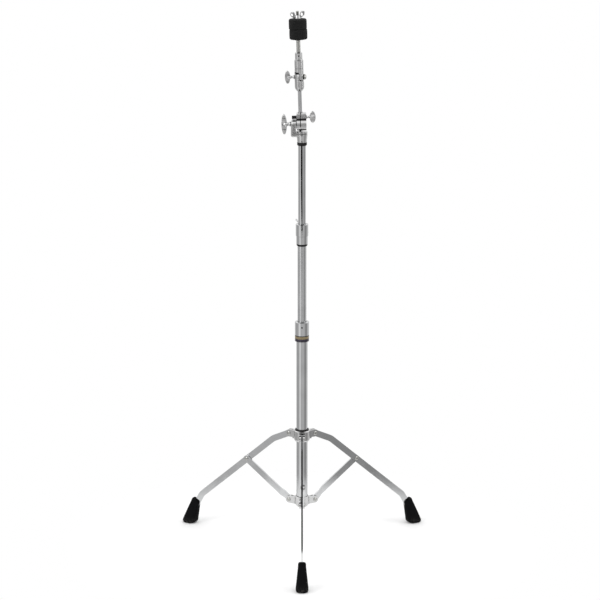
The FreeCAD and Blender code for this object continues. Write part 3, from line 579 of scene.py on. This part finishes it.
# Inset along, inset across and lift of the rings that close the top
MOUTH_RINGS = ((4.5, 4.0, -0.3), (6.5, 5.5, -1.6))
LEG_TURNS = (30.0, 150.0, 270.0)


def boot_ring(share, inset_x, inset_y, lift=0.0):
    """One rounded-rectangle section of the boot, share of the way from sole to top."""
    half_x = BOOT_SOLE[0] + (BOOT_TOP[0] - BOOT_SOLE[0]) * share - inset_x
    half_y = BOOT_SOLE[1] + (BOOT_TOP[1] - BOOT_SOLE[1]) * share - inset_y
    centre = BOOT_SOLE_AT.lerp(BOOT_TOP_AT, share)
    tip = Matrix.Rotation(BOOT_TIP * share, 3, "Y")
    power = 2 / (BOOT_SQUARE - BOOT_SOFTEN * share)
    ring = []
    for side in range(BOOT_SIDES):
        angle = 2 * math.pi * side / BOOT_SIDES
        c, s = math.cos(angle), math.sin(angle)
        x = math.copysign(abs(c) ** power, c) * half_x
        y = math.copysign(abs(s) ** power, s) * half_y
        inner = max(0.0, -c) ** 1.5
        x += inner * rib_depth(centre.z)
        ring.append(centre + tip @ Vector((x, y, lift)))
    return ring


def rib_depth(z):
    """How deep the grip grooves cut at a height."""
    nearest = round((z - BOOT_RIB_Z0) / BOOT_RIB_STEP)
    if not 0 <= nearest < BOOT_RIBS:
        return 0.0
    off = abs(z - BOOT_RIB_Z0 - nearest * BOOT_RIB_STEP) / BOOT_RIB_HALF
    return BOOT_RIB_DEPTH * max(0.0, 1 - off * off)


def boot_piece(number, turn):
    rings = [boot_ring(0.0, BOOT_ROUND_X + size, BOOT_ROUND_Y + size) for size in SOLE_INSETS]
    shares = [(step / BOOT_FOOT_RINGS) ** 2 * BOOT_ROCKER / BOOT_TOP_AT.z
              for step in range(BOOT_FOOT_RINGS)]
    foot = shares[-1]
    shares += [foot + (1 - foot) * (step + 1) / BOOT_RINGS for step in range(BOOT_RINGS)]
    for share in shares:
        rise = max(0.0, 1 - BOOT_TOP_AT.z * share / BOOT_ROCKER)
        rocker = 1 - math.sqrt(1 - rise * rise)
        lip = LIP * math.exp(-((share - LIP_AT) / LIP_WIDTH) ** 2)
        edge = MOUTH * max(0.0, (share - MOUTH_FROM) / (1 - MOUTH_FROM)) ** 2 - lip
        rings.append(boot_ring(share, BOOT_ROUND_X * rocker + edge, BOOT_ROUND_Y * rocker + edge))
    rings += [boot_ring(1.0, *closing) for closing in MOUTH_RINGS]
    points = [p for ring in rings for p in ring]
    faces = rings_to_faces(len(rings), BOOT_SIDES)
    for first in (0, (len(rings) - 1) * BOOT_SIDES):
        ring = points[first:first + BOOT_SIDES]
        hub = len(points)
        points.append(sum(ring, Vector()) / BOOT_SIDES)
        faces += [(first + k, first + (k + 1) % BOOT_SIDES, hub) for k in range(BOOT_SIDES)]
    matrix = Matrix.Rotation(math.radians(turn), 4, "Z")
    place_piece(f"rubber_boot_{number}", points, faces, matrix, f"leg_{number}_link",
                "rubber", "rubber", [f"rubber_foot_{number}"])


# Wing screws and the wing nut: turned stems and thin oval leaves with dished faces
PLATE_RINGS, PLATE_SIDES, STEM_SIDES = 14, 72, 40
RIM = 0.20               # share of the way in from its edge over which a leaf rounds off
# Thickness of an oval leaf, as shares: overall, dished lobes, and the boss at its middle
LEAF_FULL, LEAF_DISH, LEAF_BOSS = 0.97, 0.50, 0.22
LOBE_FROM, LOBE_LONG, BOSS_WIDE = 0.16, 0.74, 0.14
# Turned neck: place as a share of the stem or of the leaf's depth, and share of the stem's radius
STEM_NECK = ((0.14, 1.0), (0.22, 0.92), (0.30, 0.70), (0.55, 0.62), (0.82, 0.74))
LEAF_NECK = ((0.0, 0.96), (0.16, 0.98), (0.42, 0.80), (0.66, 0.55), (0.78, 0.30), (0.80, 0.10))


def plate(outline, middle, height_at):
    """Closed leaf over a star-shaped outline in XZ; height_at gives half its thickness."""
    sides = len(outline)
    points, faces = [], []
    for sign in (1, -1):
        start = len(points)
        points.append(Vector((middle[0], sign * height_at(0.0, *middle), middle[1])))
        for ring in range(1, PLATE_RINGS):
            share = math.sin(math.pi / 2 * ring / PLATE_RINGS)
            for x, z in outline:
                at = (middle[0] + (x - middle[0]) * share, middle[1] + (z - middle[1]) * share)
                points.append(Vector((at[0], sign * height_at(share, *at), at[1])))
        faces += [(start, start + 1 + k, start + 1 + (k + 1) % sides) for k in range(sides)]
        faces += [tuple(start + 1 + i for i in face)
                  for face in rings_to_faces(PLATE_RINGS - 1, sides)]
    rim = len(points)
    points += [Vector((x, 0, z)) for x, z in outline]
    for start in (0, rim // 2):
        last = start + 1 + (PLATE_RINGS - 2) * sides
        faces += [(last + k, last + (k + 1) % sides, rim + (k + 1) % sides, rim + k)
                  for k in range(sides)]
    return points, faces


def rim_round(share):
    """Thickness falls off round the rim, as a half circle does."""
    over = max(0.0, (share - 1 + RIM) / RIM)
    return math.sqrt(max(0.0, 1 - over * over))


def lathe(profile, sides=STEM_SIDES):
    """Closed solid of revolution about X from (x, radius) pairs."""
    angles = [2 * math.pi * k / sides for k in range(sides)]
    points = [Vector((x, r * math.cos(angle), r * math.sin(angle)))
              for x, r in profile for angle in angles]
    faces = rings_to_faces(len(profile), sides)
    for first, x in ((0, profile[0][0]), ((len(profile) - 1) * sides, profile[-1][0])):
        hub = len(points)
        points.append(Vector((x, 0, 0)))
        faces += [(first + k, first + (k + 1) % sides, hub) for k in range(sides)]
    return points, faces


def joined(*meshes):
    points, faces = [], []
    for more_points, more_faces in meshes:
        faces += [tuple(i + len(points) for i in face) for face in more_faces]
        points += more_points
    return points, faces


def wing_mesh(sizes, shank):
    shank_r, stem_r, stem, span, width, thick = sizes
    start = shank + stem
    middle = start + width / 2
    half_span, half_width = span / 2, width / 2
    outline = [(middle + half_width * math.cos(2 * math.pi * k / PLATE_SIDES),
                half_span * math.sin(2 * math.pi * k / PLATE_SIDES)) for k in range(PLATE_SIDES)]

    def height(share, x, z):
        u = abs(z) / half_span
        v = (x - middle) / half_width
        lobe = max(0.0, math.sin(math.pi * min(1.0, max(0.0, (u - LOBE_FROM) / LOBE_LONG))))
        dish = LEAF_DISH * lobe * (1 - 0.7 * v * v)
        boss = LEAF_BOSS * math.exp(-(u / BOSS_WIDE) ** 2)
        return thick / 2 * rim_round(share) * (LEAF_FULL - dish + boss * (1 - share))

    neck = [(0.0, shank_r), (shank - 0.6, shank_r), (shank - 0.5, stem_r * 0.98),
            (shank + 0.4, stem_r)]
    neck += [(shank + stem * along, stem_r * size) for along, size in STEM_NECK]
    neck += [(start + width * along, stem_r * size) for along, size in LEAF_NECK]
    return joined(lathe(neck), plate(outline, (middle, 0.0), height))


def turn_of(angle, axis):
    return Matrix.Rotation(math.radians(angle), 4, axis)


# The sizes below repeat the frame's own: shank and stem radii, stem, span, depth, thickness
COLLAR_WING = (3.0, 4.5, 6.0, 47.0, 13.0, 5.0)
TILT_WING = (4.0, 6.2, 8.8, 51.0, 13.6, 6.0)
SQUEEZE_WING = (3.0, 4.2, 8.0, 29.0, 14.8, 5.0)
HEAD_WING = (3.0, 4.6, 10.0, 34.0, 13.2, 5.0)
BACKWARD = turn_of(90, "Z")
LEFTWARD = turn_of(180, "Z")
ROD_AT = Vector((-3.7, 19.0, 0))


def collar_place(tip, z, turn=0.0):
    """A screw through a collar's back, starting tip from the mast's axis."""
    return Matrix.Translation((0, tip, z)) @ turn_of(turn, "Y") @ BACKWARD


# node, piece, body, sizes, shank length, place
WINGS = (
    ("crown_wing_screw", "crown_wing", "crown_screw", COLLAR_WING, 9.45,
     collar_place(16.15, 293.03)),
    ("lower_clamp_wing_screw", "lower_clamp_wing", "lower_screw", COLLAR_WING, 7.95,
     collar_place(14.45, 576.5)),
    ("upper_clamp_wing_screw", "upper_clamp_wing", "upper_screw", COLLAR_WING, 7.55,
     collar_place(12.65, 826.5, -42.0)),
    ("tilt_wing_screw", "tilt_wing", "tilt_screw", TILT_WING, 22.0,
     leaned((-6.5, 0, 1090.0)) @ LEFTWARD),
    ("rod_clamp_wing_screw", "rod_clamp_wing", "clamp_screw", SQUEEZE_WING, 34.2,
     leaned((-23.0, 5.0, 1105.5))),
    ("cymbal_tilter_wing_screw", "cymbal_tilter_wing", "head_screw", HEAD_WING, 27.1,
     leaned(ROD_AT + Vector((15.0, 0, 1203.0))) @ turn_of(12, "X") @ LEFTWARD),
)

NUT_Z, NUT_BORE, NUT_TURN, NUT_LEAF_T = 1345.8, 3.95, 32.0, 4.4
NUT_BOSS = ((NUT_BORE, 0.0), (8.3, 0.0), (8.5, 0.3), (8.5, 1.8), (8.2, 2.3), (7.2, 2.9),
            (6.9, 3.6), (6.6, 6.0), (6.3, 8.2), (5.8, 8.9), (5.2, 9.0), (NUT_BORE, 9.0))
NUT_LEAF = ((4.0, 1.5), (9.0, 1.5), (19.0, 7.5), (20.5, 12.0), (20.5, 16.0), (18.8, 18.2),
            (11.0, 18.2), (9.0, 16.0), (7.0, 9.5), (4.0, 8.0))
NUT_LEAF_MIDDLE = (12.5, 10.8)
NUT_DISH, NUT_DISH_R, NUT_DISH_OFF, NUT_FULL = 0.22, 6.0, 1.5, 0.98
CORNER_PASSES, CUT, STAY = 3, 0.13, 0.87


def rounded(corners):
    """Corner cutting, which leaves a smooth closed outline inside the corners."""
    for _ in range(CORNER_PASSES):
        cut = []
        for (ax, az), (bx, bz) in zip(corners, corners[1:] + corners[:1]):
            cut += [(ax * STAY + bx * CUT, az * STAY + bz * CUT),
                    (ax * CUT + bx * STAY, az * CUT + bz * STAY)]
        corners = cut
    return corners


def nut_leaf(side):
    def height(share, x, z):
        middle_x, middle_z = NUT_LEAF_MIDDLE
        off = math.hypot(x - middle_x - NUT_DISH_OFF, z - middle_z - NUT_DISH_OFF)
        dish = NUT_DISH * max(0.0, 1 - (off / NUT_DISH_R) ** 2)
        return NUT_LEAF_T / 2 * rim_round(share) * (NUT_FULL - dish)

    points, faces = plate(rounded(list(NUT_LEAF)), NUT_LEAF_MIDDLE, height)
    return [turn_of(side, "Z") @ p for p in points], faces


def wing_nut_piece():
    angles = [2 * math.pi * k / STEM_SIDES for k in range(STEM_SIDES)]
    boss = [Vector((r * math.cos(angle), r * math.sin(angle), z))
            for r, z in NUT_BOSS for angle in angles]
    faces = rings_to_faces(len(NUT_BOSS), STEM_SIDES, closed=True)
    points, faces = joined((boss, faces), nut_leaf(0), nut_leaf(180))
    matrix = leaned(ROD_AT + Vector((0, 0, NUT_Z))) @ turn_of(NUT_TURN, "Z")
    place_piece("top_wing_nut", points, faces, matrix, "top_nut", "cast_chrome", "cast",
                ["wing_nut"])


make_camera()
make_world()
make_lights()
make_floor()
make_cloth()
MATERIALS = make_materials()
dress_nodes(MATERIALS)
bpy.context.scene.view_settings.view_transform = "Standard"
for felt_entry in FELTS:
    felt_piece(*felt_entry)
for leg_number, leg_turn in enumerate(LEG_TURNS, start=1):
    boot_piece(leg_number, leg_turn)
for cad_node, piece_name, body, sizes, shank, place in WINGS:
    place_piece(piece_name, *wing_mesh(sizes, shank), place, body, "cast_chrome", "cast",
                [cad_node])
wing_nut_piece()
